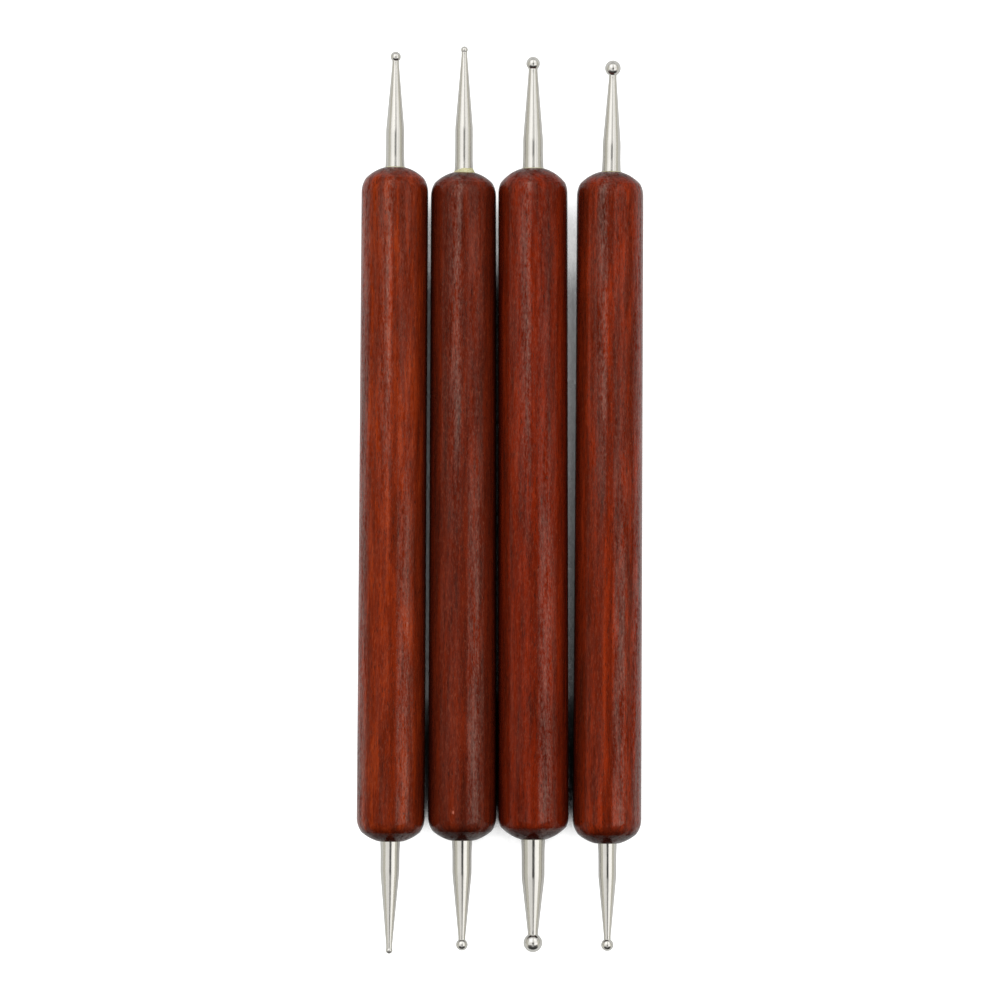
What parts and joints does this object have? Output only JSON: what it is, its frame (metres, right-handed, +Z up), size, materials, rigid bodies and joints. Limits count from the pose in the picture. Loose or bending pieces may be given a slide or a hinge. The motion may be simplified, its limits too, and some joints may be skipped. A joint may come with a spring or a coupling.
{
  "type": "double-ended embossing stylus set",
  "caption": "Embossing styluses with turned hardwood handles and a steel ball tip on a tapered pin at each end, lying side by side.",
  "frame": {"origin": "middle of the set's bounding box in X and Y, on the surface that the handles lie on", "axes": "+Y runs along the styluses towards their head ends, +X to the right across the row, and +Z up from the surface"},
  "size_m": [0.0423, 0.1338, 0.0104],
  "materials": {
    "stained_wood_1": "red-brown stain under a satin varnish, fine lengthwise grain",
    "stained_wood_2": "red-brown stain under a satin varnish, fine lengthwise grain",
    "stained_wood_3": "red-brown stain under a satin varnish, fine lengthwise grain",
    "stained_wood_4": "red-brown stain under a satin varnish, fine lengthwise grain",
    "pin_steel": "turned and polished",
    "ball_steel": "polished",
    "adhesive": "cured adhesive, pale yellow-green"
  },
  "bodies": {
    "stylus_1": {"handle_1": "stained_wood_1", "head_adhesive_1": "adhesive", "head_pin_1": "pin_steel", "head_ball_1": "ball_steel", "tail_adhesive_1": "adhesive", "tail_pin_1": "pin_steel", "tail_ball_1": "ball_steel"},
    "stylus_2": {"handle_2": "stained_wood_2", "head_adhesive_2": "adhesive", "head_pin_2": "pin_steel", "head_ball_2": "ball_steel", "tail_adhesive_2": "adhesive", "tail_pin_2": "pin_steel", "tail_ball_2": "ball_steel"},
    "stylus_3": {"handle_3": "stained_wood_3", "head_adhesive_3": "adhesive", "head_pin_3": "pin_steel", "head_ball_3": "ball_steel", "tail_adhesive_3": "adhesive", "tail_pin_3": "pin_steel", "tail_ball_3": "ball_steel"},
    "stylus_4": {"handle_4": "stained_wood_4", "head_adhesive_4": "adhesive", "head_pin_4": "pin_steel", "head_ball_4": "ball_steel", "tail_adhesive_4": "adhesive", "tail_pin_4": "pin_steel", "tail_ball_4": "ball_steel"}
  },
  "joints": [
    {"name": "stylus_1_lift", "type": "slide", "parent": "stylus_2", "child": "stylus_1", "axis": [0, 0, 1], "range_m": [0, 0.025]},
    {"name": "stylus_3_lift", "type": "slide", "parent": "stylus_2", "child": "stylus_3", "axis": [0, 0, 1], "range_m": [0, 0.025]},
    {"name": "stylus_4_lift", "type": "slide", "parent": "stylus_2", "child": "stylus_4", "axis": [0, 0, 1], "range_m": [0, 0.025]}
  ]
}
